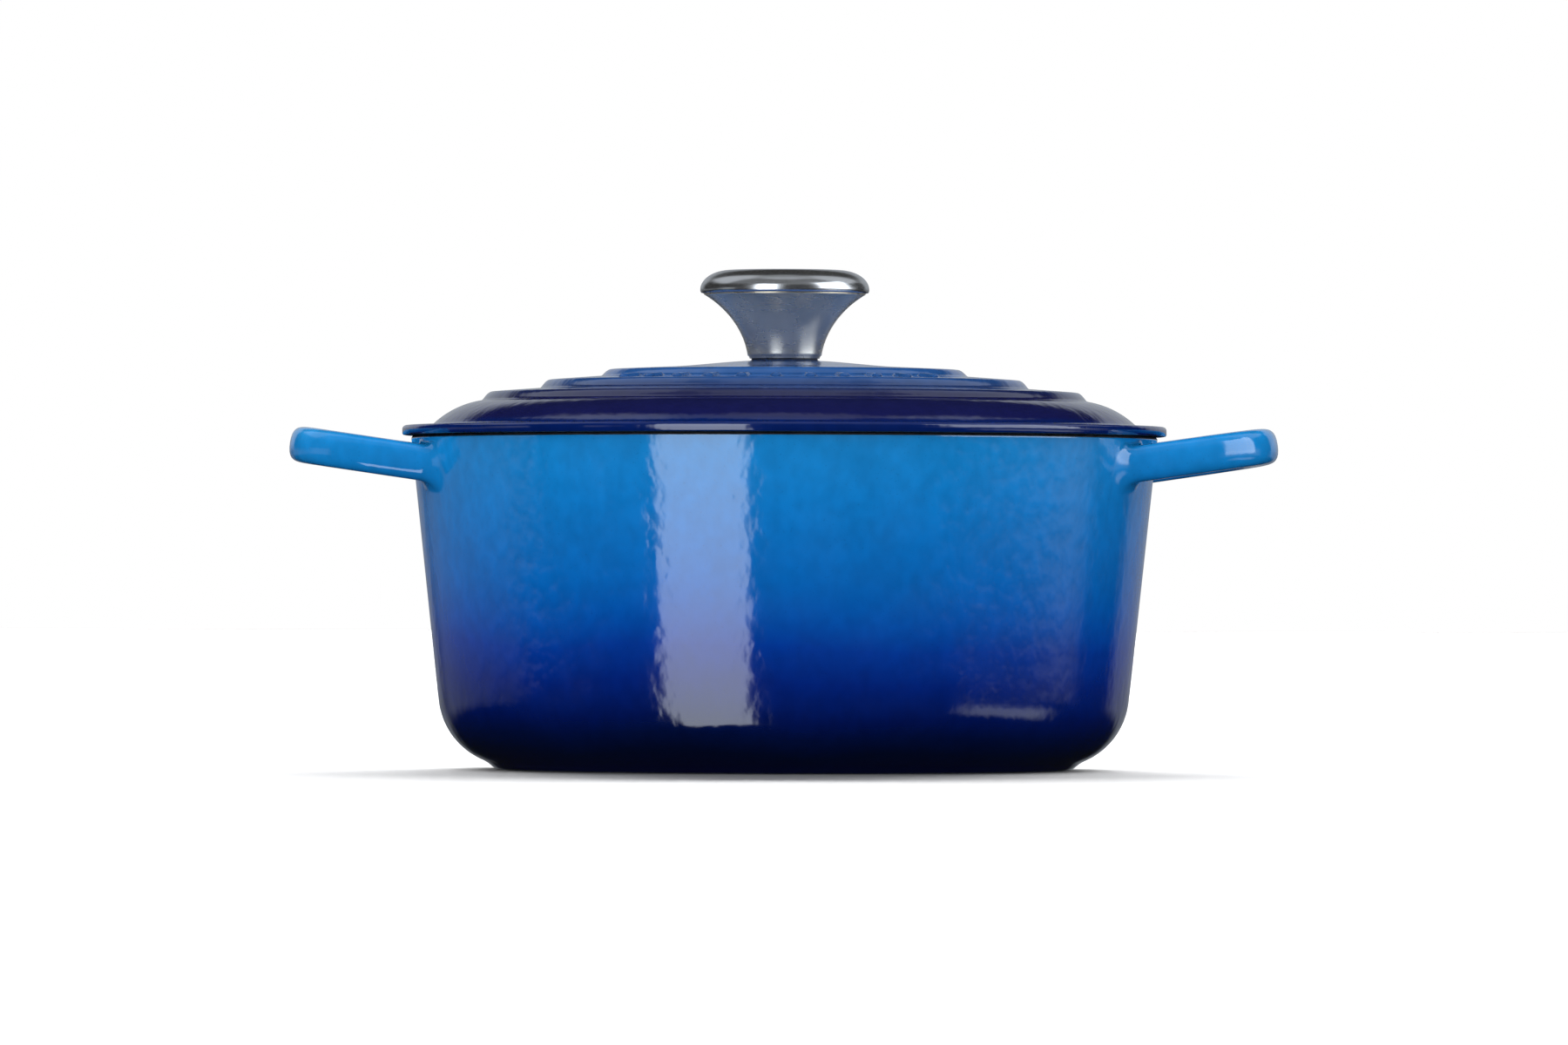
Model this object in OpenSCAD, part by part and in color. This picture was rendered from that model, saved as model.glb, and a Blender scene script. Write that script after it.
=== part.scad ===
// Round dutch oven: an enamelled cast iron pot with two loop handles cast on it, a lid with stepped rings,
// and a hollow stainless steel knob held by one screw from under the lid.
// Millimetres, +Z up. The origin is the centre of the foot that the pot stands on; the handles point along X.

/* [Pot] */
// Outside diameter of the pot at its rim
pot_d = 250.8; // [240:0.2:262]
// Height of the rim above the floor
pot_h = 112; // [95:1:130]
// Lean of the wall, widening towards the rim
draft = 6.1; // [3:0.1:8]
// Thickness of the wall and floor, enamel included
wall = 3.4; // [3:0.1:4.5]
// Outside radius of the corner between the wall and the floor
corner_r = 24.5; // [18:0.5:30]
// Diameter of the foot that touches the floor
foot_d = 193.6; // [180:0.2:194]
// Height of the foot below the corner
foot_h = 2.5; // [2:0.1:3]
// Depth of the recess inside the foot
foot_recess = 0.8; // [0.4:0.1:1]

/* [Handles] */
// Overall length across both handles
handles_l = 331.6; // [320:0.2:350]
// Distance between the middles of a handle's two legs
leg_gap = 87; // [76:1:92]
// Width of the handle's bar, seen from above
bar_w = 14; // [12:0.5:16]
// Height of the handle's bar
bar_h = 12.3; // [10:0.1:13]
// Upward tilt of the handles
handle_tilt = 8.3; // [4:0.1:10]

/* [Lid] */
// Outside diameter of the lid's rim
lid_d = 256.6; // [254:0.2:280]
// Thickness of the lid
lid_t = 3.6; // [3:0.1:4.2]
// Diameter of the step at the foot of each ring, from the outside in
ring_d = [203, 164, 123];
// Height of each ring's step
ring_rise = [2.9, 2.9, 2.3];
// Depth of the rib that locates the lid inside the rim
rib_h = 4.2; // [3:0.1:6]

/* [Knob] */
// Largest diameter of the knob
knob_d = 56.8; // [50:0.2:60]
// Height of the knob above the lid's boss
knob_h = 30.2; // [28:0.2:31]
// Diameter of the knob's foot
knob_foot_d = 24.8; // [24:0.1:26]
// Thickness of the knob's steel sheet
sheet_t = 1.1; // [0.8:0.1:1.2]
// Nominal diameter of the screw
screw_d = 5; // [4:0.5:5]
// Length of the screw under its head
screw_l = 20; // [18:1:22]

/* [Hidden] */
$fn = 128;

enamel_blue = [0.05, 0.30, 0.68];
enamel_navy = [0.10, 0.11, 0.38];
polished_steel = [0.72, 0.72, 0.74];
satin_steel = [0.45, 0.50, 0.56];
zinc_steel = [0.66, 0.67, 0.68];
black_rubber = [0.06, 0.06, 0.07];

// Pot: the wall leans out by its draft, and the corner's arc is tangent to it.
rim_r = pot_d / 2;
foot_r = foot_d / 2;
foot_w = 8;                              // width of the ring that touches the floor
corner_z0 = foot_h - 1.4;                // height at which the corner's arc would turn flat
rim_edge_r = 1.2;                        // rounding of the rim's outer edge
lip_edge_r = 0.8;                        // rounding of the rim's inner edge
corner_c = [
    rim_r - (pot_h - corner_r - corner_z0) * tan(draft) - corner_r / cos(draft),
    corner_r + corner_z0
];
foot_angle = -asin((corner_c.y - foot_h) / corner_r);   // where the corner's arc meets the foot
arc_steps = 12;
function wall_r(z) = rim_r - (pot_h - z) * tan(draft);  // outside radius of the wall at height z
function cavity_r(z) = wall_r(z) - wall / cos(draft);
rim_c = [wall_r(pot_h - rim_edge_r) - rim_edge_r / cos(draft), pot_h - rim_edge_r];
lip_c = [cavity_r(pot_h - lip_edge_r) + lip_edge_r / cos(draft), pot_h - lip_edge_r];

// Handles: a bar swept along a superellipse, filleted where its legs meet the wall.
handle_x0 = rim_r - 15.4;                // where the loop's middle line starts, behind the wall
handle_z0 = pot_h - 10.8;                // height of that start
handle_reach = (handles_l / 2 - bar_w / 2 - handle_x0) / cos(handle_tilt);
path_power = 3.6;                        // the loop: 2 is an ellipse, more is squarer
section_power = 3.2;                     // the bar's section
section_steps = 24;
loop_steps = 30;
root_fillet = [7, 1.3, 4];               // fillets at the wall: sides, top and underside
root_gaps = [-2, 0.2, 0.7, 1.5, 2.6, 4.2, 6.5];  // distances from the wall of the sections in a root
root_l = 22;                             // distance along a leg at which the root's sections end

// Lid: heights are built up from the rim's seat, ring by ring.
lid_r = lid_d / 2;
lid_edge_r = 1.3;
lid_rim_t = 3.7;                         // thickness of the lid's flat rim
dome_r0 = lid_r - 10.6;                  // where the dome rises out of the flat rim
dome_angle = [47, 80];                   // the dome's arc, from its foot to the first ring
dome_arc_r = 30;
ring_run = 3.3;                          // horizontal width of a ring's step
tread_slope = 4.2;                       // slope between the rings
crown_slope = 2.5;                       // slope inside the last ring
boss_r = 11.5;                           // boss that the knob stands on
boss_h = 1.2;
boss_edge = 0.5;
rib_r = rim_r - wall / cos(draft) - 1.6; // outside of the locating rib
rib_w = 3.6;
rib_edge = 0.8;                          // bevels and draft of the rib
seat_edge = 0.5;                         // bevel of the rim's lower edge
nub_count = 3;                           // stabilising nubs around the rib
nub_w = 9;
nub_out = 0.9;                           // how far the nubs stand out of the rib
mark_count = 11;                         // raised bars in each of the two decorative arcs
mark_pitch = 9;                          // degrees between the bars
mark = [8, 3.2, 0.9];                    // length, width and height of one bar
mark_root = 0.7;                         // how far a bar is sunk into the lid
screw_hole_r = screw_d / 2 + 0.25;

function rise_to(n) = n < 0 ? 0 : ring_rise[n] + rise_to(n - 1);
dome_c = [
    dome_r0 - dome_arc_r * cos(dome_angle[0]),
    pot_h + lid_rim_t + 0.3 - dome_arc_r * sin(dome_angle[0])
];
dome_top = dome_c + dome_arc_r * [cos(dome_angle[1]), sin(dome_angle[1])];
function ring_r(n) = ring_d[n] / 2;
function tread_z(n) =                    // height at the foot of ring n
    n == 0
        ? dome_top.y + (dome_top.x - ring_r(0)) * tan(90 - dome_angle[1])
        : tread_z(n - 1) + ring_rise[n - 1]
            + (ring_r(n - 1) - ring_run - ring_r(n)) * tan(tread_slope);
crown_z = tread_z(2) + ring_rise[2];
crown_r = ring_r(2) - ring_run;
boss_z = crown_z + (crown_r - boss_r) * tan(crown_slope) + boss_h;
pad_z = boss_z - boss_h - lid_t - 0.4;   // flat pad under the lid for the washer
mark_r = (ring_r(1) - ring_run + ring_r(2)) / 2;
mark_z = tread_z(2) - (mark_r - ring_r(2)) * tan(tread_slope) - mark_root;

// Knob: its parts stack on the lid's boss.
gasket_t = 0.5;
base_t = 1.6;
stem_lip = 0.9;                          // how much of the base shows under the stem
cap_h = 8;                               // height of the cap above its seam with the stem
cap_side = 10;                           // width of the cap's rounded shoulder
cap_belly = 1.8;                         // height of the widest point above the seam
cap_dish = 1.7;                          // depth of the dish in the cap's top
knob_z = boss_z + gasket_t;
stem_z = knob_z + stem_lip;
seam_z = boss_z + knob_h - cap_h;
stem_angle = 6.7;                        // where on its ellipse the stem's curve starts
stem_axes = [37, 30];                    // half axes of that ellipse
foot_ring_r = knob_foot_d / 2;
stem_top_angle = asin(sin(stem_angle) + (seam_z - stem_z) / stem_axes.y);
function stem_r(a) = foot_ring_r + stem_axes.x * (cos(stem_angle) - cos(a));
seam_r = stem_r(stem_top_angle);
insert_r = 6;
insert_l = 13;
insert_flange = [9, 2];                  // radius and thickness

// Screw and washers, hung from the pad under the lid.
washer_t = 1.2;
washer_r = 7.5;
lock_t = 1.2;
lock_r = 4.6;
head_r = 4.75;
head_h = 3.2;
head_z = pad_z - washer_t - lock_t;      // the face that the head bears on
pitch = 0.8;
thread_depth = 0.45;

// Points of an arc about c, from angle a0 to a1.
function arc(c, r, a0, a1, n = arc_steps) =
    [for (i = [0:n]) c + r * [cos(a0 + (a1 - a0) * i / n), sin(a0 + (a1 - a0) * i / n)]];

// A power that keeps the sign, for superellipses.
function sign_pow(x, p) = sign(x) * pow(abs(x), p);

// Closed ring with a rectangular section.
module ring(r_in, r_out, z0, h) {
    translate([0, 0, z0]) difference() {
        cylinder(r = r_out, h = h);
        translate([0, 0, -1]) cylinder(r = r_in, h = h + 2);
    }
}

// ---- pot ----

// Half section of the pot, filled: the foot's ring, the corner, the wall and the rim's outer edge.
function pot_outer() = concat(
    [
        [0, foot_recess],
        [foot_r - foot_w, foot_recess],
        [foot_r - foot_w + foot_recess, 0],
        [foot_r, 0]
    ],
    arc(corner_c, corner_r, foot_angle, -draft),
    arc(rim_c, rim_edge_r, -draft, 90, 5),
    [[0, pot_h]]
);

// The hollow, open at the top, with the rim's inner edge rounded.
function pot_cavity() = concat(
    [[0, corner_c.y - corner_r + wall]],
    arc(corner_c, corner_r - wall, -90, -draft),
    arc(lip_c, lip_edge_r, 180 - draft, 90, 4),
    [[cavity_r(pot_h) + lip_edge_r, pot_h + 1], [0, pot_h + 1]]
);

// The bar's middle line, in the handle's own tilted plane: u runs outwards, v sideways.
function path_uv(t) = [
    handle_reach * pow(max(sin(t), 0), 2 / path_power),
    leg_gap / 2 * sign_pow(cos(t), 2 / path_power)
];
function path_way(t) = let (d = path_uv(min(t + 0.5, 180)) - path_uv(max(t - 0.5, 0))) d / norm(d);

loop_t0 = asin(pow(root_l / handle_reach, path_power / 2));

// From the handle's tilted plane to the pot's frame; w is the height over that plane.
function to_pot(u, v, w) = [
    handle_x0 + u * cos(handle_tilt) - w * sin(handle_tilt),
    v,
    handle_z0 + u * sin(handle_tilt) + w * cos(handle_tilt)
];

// Point of the bar's section, to the inside of the loop and up.
function section_point(a) = [
    sign_pow(cos(a), 2 / section_power) * bar_w / 2,
    sign_pow(sin(a), 2 / section_power) * bar_h / 2
];

function loop_section(t) =
    let (c = path_uv(t), way = path_way(t))
    [
        for (j = [0:section_steps - 1])
            let (s = section_point(360 * j / section_steps))
            to_pot(c.x + way.y * s.x, c.y - way.x * s.x, s.y)
    ];

// How far a fillet of radius r has moved the bar's skin at a gap from the wall.
function fillet_out(gap, r) = gap >= r ? 0 : r - sqrt(r * r - pow(r - max(gap, 0), 2));

// Distance along a leg at which a line of its skin has the given gap from the wall.
function reach_gap(v, w, gap, u = 6, rounds = 4) =
    let (z = handle_z0 + u * sin(handle_tilt) + w * cos(handle_tilt))
    rounds == 0 ? u : reach_gap(
        v, w, gap,
        (sqrt(pow(wall_r(z) + gap, 2) - v * v) - handle_x0 + w * sin(handle_tilt)) / cos(handle_tilt),
        rounds - 1
    );

// A root's section follows the wall at one gap; side is 1 for the first leg and -1 for the last.
function root_section(gap, side) = [
    for (j = [0:section_steps - 1])
        let (
            a = 360 * j / section_steps,
            s = section_point(a),
            r = root_fillet[0] * pow(cos(a), 2) + root_fillet[a < 180 ? 1 : 2] * pow(sin(a), 2),
            out = fillet_out(gap, r),
            v = leg_gap / 2 - s.x - out * cos(a),
            w = s.y + out * sin(a)
        )
        to_pot(reach_gap(v, w, gap), side * v, w)
];
function root_middle(side) = to_pot(reach_gap(leg_gap / 2, 0, root_gaps[0]), side * leg_gap / 2, 0);

module handle() {
    n = section_steps;
    rings = concat(
        [for (g = root_gaps) root_section(g, 1)],
        [for (i = [0:loop_steps]) loop_section(loop_t0 + (180 - 2 * loop_t0) * i / loop_steps)],
        [for (i = [len(root_gaps) - 1:-1:0]) root_section(root_gaps[i], -1)]
    );
    last = (len(rings) - 1) * n;
    middle = len(rings) * n;
    faces = [
        for (j = [0:n - 1])
            let (k = (j + 1) % n)
            each concat(
                [for (a = [0:n:last - n]) each [[a + j, a + k, a + n + k], [a + j, a + n + k, a + n + j]]],
                [[k, j, middle], [last + j, last + k, middle + 1]]
            )
    ];
    points = concat([for (r = rings) each r], [root_middle(1), root_middle(-1)]);
    polyhedron(points = points, faces = faces, convexity = 6);
}

module pot() {
    color(enamel_blue) difference() {
        union() {
            rotate_extrude() polygon(pot_outer());
            for (turn = [0, 180]) rotate([0, 0, turn]) handle();
        }
        rotate_extrude() polygon(pot_cavity());
    }
}

// ---- lid ----

// One ring's step: it starts sharply and rounds over at its crest.
function step(n, drop = 0) = [
    for (i = [0:6])
        let (t = i / 6)
        [ring_r(n) - ring_run * t, tread_z(n) - drop + ring_rise[n] * sin(90 * t)]
];

// The face between the rim and the boss, moved down by drop for the underside.
function lid_face(drop = 0) = concat(
    [for (p = arc(dome_c, dome_arc_r, dome_angle[0], dome_angle[1], 9)) p - [0, drop]],
    step(0, drop),
    step(1, drop),
    step(2, drop)
);

function lid_section() = concat(
    [
        [screw_hole_r, boss_z],
        [boss_r - boss_edge, boss_z],
        [boss_r, boss_z - boss_edge],
        [boss_r, boss_z - boss_h]
    ],
    [for (i = [len(lid_face()) - 1:-1:0]) lid_face()[i]],
    [[dome_r0 + 0.9, pot_h + lid_rim_t - 0.1]],
    arc([lid_r - lid_edge_r, pot_h + lid_rim_t - 0.4 - lid_edge_r], lid_edge_r, 90, 0, 4),
    [
        [lid_r, pot_h + seat_edge],
        [lid_r - seat_edge, pot_h],
        [rib_r + rib_edge, pot_h],
        [rib_r, pot_h - rib_edge],
        [rib_r - rib_edge / 2, pot_h - rib_h + rib_edge],
        [rib_r - rib_edge * 1.5, pot_h - rib_h],
        [rib_r - rib_w + rib_edge, pot_h - rib_h],
        [rib_r - rib_w, pot_h - rib_h + rib_edge],
        [rib_r - rib_w, pot_h - rib_edge / 2]
    ],
    [for (p = lid_face(lid_t)) if (p.x < rib_r - rib_w - rib_edge) p],
    [[washer_r + 4, pad_z + 0.4], [washer_r + 3, pad_z], [screw_hole_r, pad_z]]
);

// Raised bars, standing on the tread outside the innermost ring.
module lid_marks() {
    for (side = [0, 180], i = [0:mark_count - 1])
        rotate([0, 0, side - 90 + (i - (mark_count - 1) / 2) * mark_pitch])
            translate([mark_r, 0, mark_z]) rotate([0, tread_slope, 0]) {
                translate([-mark.x / 2 + mark.y / 2, -mark.y / 2, 0])
                    cube([mark.x - mark.y, mark.y, mark.z + mark_root]);
                for (end = [-1, 1]) translate([end * (mark.x - mark.y) / 2, 0, 0])
                    cylinder(d = mark.y, h = mark.z + mark_root, $fn = 32);
            }
}

module lid_nubs() {
    for (i = [0:nub_count - 1]) rotate([0, 0, 30 + 360 / nub_count * i])
        intersection() {
            ring(rib_r - 2, rib_r + nub_out - 0.3, pot_h - rib_h + 1, rib_h - 1.6);
            translate([rib_r - 3, -nub_w / 2, pot_h - rib_h]) cube([6, nub_w, rib_h]);
        }
}

module lid() {
    color(enamel_navy) union() {
        rotate_extrude() polygon(lid_section());
        lid_marks();
        lid_nubs();
    }
}

// ---- knob ----

// Outside of the stem, from its foot to the seam; inset moves it towards the axis.
function stem_curve(inset = 0) = [
    for (i = [0:arc_steps])
        let (a = stem_angle + (stem_top_angle - stem_angle) * i / arc_steps)
        [stem_r(a) - inset / cos(a), stem_z + stem_axes.y * (sin(a) - sin(stem_angle))]
];

module knob_stem() {
    inside = stem_curve(sheet_t);
    color(satin_steel) rotate_extrude()
        polygon(concat(stem_curve(), [for (i = [arc_steps:-1:0]) inside[i]]));
}

// The cap's pressed sheet, from its lower edge to the axis; inset gives its inner face.
function cap_curve(inset = 0) = concat(
    [
        for (i = [0:4])
            let (t = i / 4)
            [
                seam_r + (knob_d / 2 - seam_r) * sin(90 * t) - inset,
                seam_z + cap_belly * t
            ]
    ],
    [
        for (i = [1:8])
            let (a = 90 * i / 8)
            [
                knob_d / 2 - cap_side + (cap_side - inset) * cos(a),
                seam_z + cap_belly + (cap_h - cap_belly - inset) * sin(a)
            ]
    ],
    [
        for (i = [1:6])
            let (t = i / 6, r = knob_d / 2 - cap_side)
            [r * (1 - t), seam_z + cap_h - inset - cap_dish * (1 - cos(180 * t)) / 2]
    ]
);

module knob_cap() {
    inner = cap_curve(sheet_t);
    flange_w = 4.3;
    flange_t = 0.8;
    color(polished_steel) union() {
        rotate_extrude()
            polygon(concat(cap_curve(), [for (i = [len(inner) - 1:-1:0]) inner[i]]));
        // flange that closes the seam, and the lip that centres the cap in the stem's mouth
        ring(seam_r - flange_w, seam_r - 0.1, seam_z, flange_t);
        ring(seam_r - flange_w, seam_r - flange_w + 1, seam_z - flange_t, 2 * flange_t);
    }
}

module knob_base() {
    color(satin_steel) difference() {
        union() {
            translate([0, 0, knob_z]) cylinder(r1 = foot_ring_r - 0.7, r2 = foot_ring_r - 0.3, h = stem_lip);
            translate([0, 0, knob_z]) cylinder(r = foot_ring_r - sheet_t - 0.5, h = base_t);
        }
        translate([0, 0, knob_z - 1]) cylinder(r = insert_r, h = base_t + 2);
    }
}

// Outline of a thread drawn as separate grooves, from the knob's foot upwards: r is its crest.
function thread(r, turns) = [
    for (i = [0:turns - 1])
        each [[r - thread_depth, knob_z + i * pitch], [r, knob_z + (i + 0.5) * pitch]]
];

module knob_insert() {
    play = 0.05;
    thread_r = screw_d / 2 + play;
    turns = floor(insert_l / pitch);
    color(zinc_steel) rotate_extrude() polygon(concat(
        thread(thread_r, turns),
        [
            [thread_r - thread_depth, knob_z + turns * pitch],
            [thread_r - thread_depth, knob_z + insert_l],
            [insert_r, knob_z + insert_l],
            [insert_r, knob_z + base_t + insert_flange[1]],
            [insert_flange[0], knob_z + base_t + insert_flange[1]],
            [insert_flange[0], knob_z + base_t],
            [insert_r, knob_z + base_t],
            [insert_r, knob_z]
        ]
    ));
}

module knob_gasket() {
    color(black_rubber) ring(screw_d / 2 + 0.5, foot_ring_r - 1.3, boss_z, gasket_t);
}

// ---- screw and washers ----

module knob_screw() {
    shank_r = screw_d / 2;
    core_r = shank_r - thread_depth;
    tip_z = head_z + screw_l;
    bevel = 0.4;                         // at the thread's start and at the tip
    turns = floor((tip_z - knob_z - bevel) / pitch);
    cross = [6.4, 1.2, 2];               // arms of the recess in the head
    color(zinc_steel) difference() {
        rotate_extrude() polygon(concat(
            [[0, head_z - head_h]],
            arc([head_r - 1.8, head_z - head_h + 1.8], 1.8, -90, 0, 5),
            [[head_r, head_z], [shank_r, head_z], [shank_r, knob_z - bevel]],
            thread(shank_r, turns),
            [[core_r, knob_z + turns * pitch], [core_r, tip_z - bevel], [core_r - bevel, tip_z], [0, tip_z]]
        ));
        for (turn = [0, 90]) rotate([0, 0, turn])
            translate([-cross.x / 2, -cross.y / 2, head_z - head_h - 0.1]) cube(cross);
    }
}

module lid_washer() {
    color(zinc_steel) ring(screw_hole_r, washer_r, pad_z - washer_t, washer_t);
}

module lock_washer() {
    slit = 1;
    color(zinc_steel) difference() {
        ring(screw_d / 2 + 0.1, lock_r, head_z, lock_t);
        translate([0, -slit / 2, head_z - 1]) cube([lock_r + 1, slit, lock_t + 2]);
    }
}

pot();
lid();
knob_cap();
knob_stem();
knob_base();
knob_insert();
knob_gasket();
knob_screw();
lid_washer();
lock_washer();
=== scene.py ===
"""Round enamelled dutch oven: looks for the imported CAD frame.

The frame is in metres, with the middle of the pot's foot at the origin and +Z up.
"""

import math

import bpy
import numpy as np
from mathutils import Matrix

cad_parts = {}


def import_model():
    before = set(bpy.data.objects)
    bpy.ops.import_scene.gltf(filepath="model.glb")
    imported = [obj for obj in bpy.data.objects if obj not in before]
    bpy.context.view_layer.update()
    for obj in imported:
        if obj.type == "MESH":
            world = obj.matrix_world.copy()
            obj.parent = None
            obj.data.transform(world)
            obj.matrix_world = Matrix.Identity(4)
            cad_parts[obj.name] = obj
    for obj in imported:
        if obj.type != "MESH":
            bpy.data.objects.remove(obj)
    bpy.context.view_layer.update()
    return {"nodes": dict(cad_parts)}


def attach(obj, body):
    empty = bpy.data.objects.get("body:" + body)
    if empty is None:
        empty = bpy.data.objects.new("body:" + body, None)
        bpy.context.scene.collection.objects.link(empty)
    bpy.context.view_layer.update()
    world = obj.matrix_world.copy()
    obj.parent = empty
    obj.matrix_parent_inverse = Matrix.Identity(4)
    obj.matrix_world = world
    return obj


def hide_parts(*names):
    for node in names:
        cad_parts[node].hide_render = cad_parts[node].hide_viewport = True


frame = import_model()
MM = 0.001
rad = math.radians

# ---------------------------------------------------------------- sizes, in millimetres, as in the CAD

RIM_R, POT_H, DRAFT, WALL = 125.4, 112.0, rad(6.1), 3.4
CORNER_R, FOOT_R, FOOT_W, FOOT_H, RECESS = 24.5, 96.8, 8.0, 2.5, 0.8
CORNER_Z0 = FOOT_H - 1.4
CORNER_C = (RIM_R - (POT_H - CORNER_R - CORNER_Z0) * math.tan(DRAFT) - CORNER_R / math.cos(DRAFT),
            CORNER_R + CORNER_Z0)
LEG_GAP, BAR_W, BAR_H, TILT = 87.0, 14.0, 12.3, rad(8.3)
LOOP_X0, LOOP_Z0 = RIM_R - 15.4, POT_H - 10.8
LOOP_REACH = (165.8 - BAR_W / 2 - LOOP_X0) / math.cos(TILT)
PATH_POWER, SECTION_POWER = 3.6, 3.2
ROOT_FILLET = (7.0, 1.3, 4.0)            # sides, top and underside of a handle's leg

LID_R, LID_T, RIM_T = 128.3, 3.6, 3.7
RING_R, RING_RISE, RING_RUN = (101.5, 82.0, 61.5), (2.9, 2.9, 2.3), 3.3
DOME_R0 = LID_R - 10.6
DOME_ARC_R, DOME_A0, DOME_A1 = 30.0, rad(47), rad(80)
TREAD, CROWN = math.tan(rad(4.2)), math.tan(rad(2.5))
BOSS_R, BOSS_H, BOSS_FLARE = 11.5, 1.2, 40.0
RIB_R, RIB_W, RIB_H = RIM_R - WALL / math.cos(DRAFT) - 1.6, 3.6, 4.2


def wall_r(z):
    """Radius of the pot's outer wall at a height."""
    return RIM_R - (POT_H - z) * math.tan(DRAFT)


def arc(c, r, a0, a1, n):
    """n + 1 points on a circle about c, from angle a0 to a1."""
    return [(c[0] + r * math.cos(a0 + (a1 - a0) * i / n), c[1] + r * math.sin(a0 + (a1 - a0) * i / n))
            for i in range(n + 1)]


def smooth(t):
    """Soft step from 0 to 1."""
    t = np.clip(t, 0, 1)
    return t * t * (3 - 2 * t)


# ---------------------------------------------------------------- meshes

def make_object(name, points, faces, materials, face_slots):
    """A mesh object from points in millimetres, smooth shaded."""
    mesh = bpy.data.meshes.new(name)
    mesh.from_pydata([tuple(c * MM for c in p) for p in points], [], faces)
    mesh.validate()
    mesh.update()
    for m in materials:
        mesh.materials.append(m)
    mesh.polygons.foreach_set("material_index", face_slots)
    mesh.polygons.foreach_set("use_smooth", [True] * len(mesh.polygons))
    obj = bpy.data.objects.new(name, mesh)
    bpy.context.scene.collection.objects.link(obj)
    return obj


class Turned:
    """A surface of revolution built ring by ring; a ring may have more or fewer columns than the last."""

    def __init__(self):
        self.points, self.faces, self.slots = [], [], []
        self.last = None

    def ring(self, r, z, columns, slot=0, shift=None):
        """Adds a ring and joins it to the last. shift(angles) moves its points outwards and up."""
        a = np.arange(columns) * 2 * math.pi / columns
        dr, dz = shift(a) if shift else (0 * a, 0 * a)
        new = len(self.points)
        self.points += list(zip((r + dr) * np.cos(a), (r + dr) * np.sin(a), z + dz))
        if self.last is not None:
            self.join(self.last, (new, columns), slot)
        else:
            self.first = (new, columns)
        self.last = (new, columns)

    def join(self, lower, upper, slot):
        """Faces between two rings; one may have three times the other's columns."""
        (p, n), (q, m) = lower, upper
        if n == m:
            new = [(p + i, p + (i + 1) % n, q + (i + 1) % n, q + i) for i in range(n)]
        elif m == 3 * n:
            new = []
            for i in range(n):
                c0, c1 = p + i, p + (i + 1) % n
                f = [q + (3 * i + k) % m for k in range(4)]
                new += [(c0, f[1], f[0]), (c0, c1, f[2], f[1]), (c1, f[3], f[2])]
        else:
            new = []
            for i in range(m):
                c0, c1 = q + i, q + (i + 1) % m
                f = [p + (3 * i + k) % n for k in range(4)]
                new += [(f[0], f[1], c0), (f[1], f[2], c1, c0), (f[2], f[3], c1)]
        self.faces += new
        self.slots += [slot] * len(new)

    def cap(self, z, slot=0, start=False):
        """Closes the first or the last ring with a fan to a point on the axis."""
        p, n = self.first if start else self.last
        c = len(self.points)
        self.points.append((0, 0, z))
        new = [(p + (i + 1) % n, p + i, c) if start else (p + i, p + (i + 1) % n, c) for i in range(n)]
        self.faces += new
        self.slots += [slot] * n

    def close(self, slot=0):
        self.join(self.last, self.first, slot)


def subdivide(obj, levels):
    m = obj.modifiers.new("Smooth", "SUBSURF")
    m.levels = m.render_levels = levels


# ---- pot: a grid round the wall with four openings, and each handle lofted from opening to opening

COLUMNS = 192
ACROSS, UPRIGHT = 6, 4                   # grid steps across and up an opening
FIRST_COLUMN = 8                         # an opening's inner column, counted from the handle's middle
OPENING_Z0, OPENING_Z1 = 93.6, 109.1     # heights of an opening's lowest and highest rows
WALL_ROWS = (29, 35, 42, 50, 58, 66, 73, 79, 84, 88, 91)
LINING_ROWS = (110.6, 109.4, 106, 100, 92, 82, 72, 62, 52, 42, 34, 28)
BLACK_DOWN_TO = 110                      # the black rim's lower edge inside the pot
RIM_OUTER_ROUND, RIM_INNER_ROUND = 1.2, 0.8
SETTLE_PASSES = 60
ROOT_GAPS = (0.12, 0.5, 1.2, 2.2, 3.6, 5.4, 8.0)         # a leg's sections, by their distance from the wall
LOOP_STEPS, LEG_END = 30, 22             # sections round the loop, which starts this far out


def sign_pow(x, p):
    """Power of x that keeps its sign, for superellipses."""
    return math.copysign(abs(x) ** p, x)


def section_angles():
    """Angles of a section's points, in the order of an opening's edge."""
    steps = ((-45, UPRIGHT), (45, ACROSS), (135, UPRIGHT), (225, ACROSS))
    return [rad(start + 90 * i / n) for start, n in steps for i in range(n)]


def section_point(a):
    """Point of a handle's rounded section, across and up."""
    return (sign_pow(math.cos(a), 2 / SECTION_POWER) * BAR_W / 2,
            sign_pow(math.sin(a), 2 / SECTION_POWER) * BAR_H / 2)


def to_pot(u, v, w):
    """From the tilted handle's own axes, outwards, along and up, to the pot's."""
    return (LOOP_X0 + u * math.cos(TILT) - w * math.sin(TILT), v,
            LOOP_Z0 + u * math.sin(TILT) + w * math.cos(TILT))


def path_uv(t):
    """The loop's middle line for t from 0 to pi, leg to leg."""
    return (LOOP_REACH * max(math.sin(t), 0) ** (2 / PATH_POWER),
            LEG_GAP / 2 * sign_pow(math.cos(t), 2 / PATH_POWER))


def loop_section(t):
    """The handle's section at t, square to the loop's middle line."""
    c = path_uv(t)
    a, b = path_uv(min(t + 0.01, math.pi)), path_uv(max(t - 0.01, 0))
    apart = math.hypot(a[0] - b[0], a[1] - b[1])
    way = ((a[0] - b[0]) / apart, (a[1] - b[1]) / apart)
    ring = []
    for angle in section_angles():
        s = section_point(angle)
        ring.append(to_pot(c[0] + way[1] * s[0], c[1] - way[0] * s[0], s[1]))
    return ring


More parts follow.
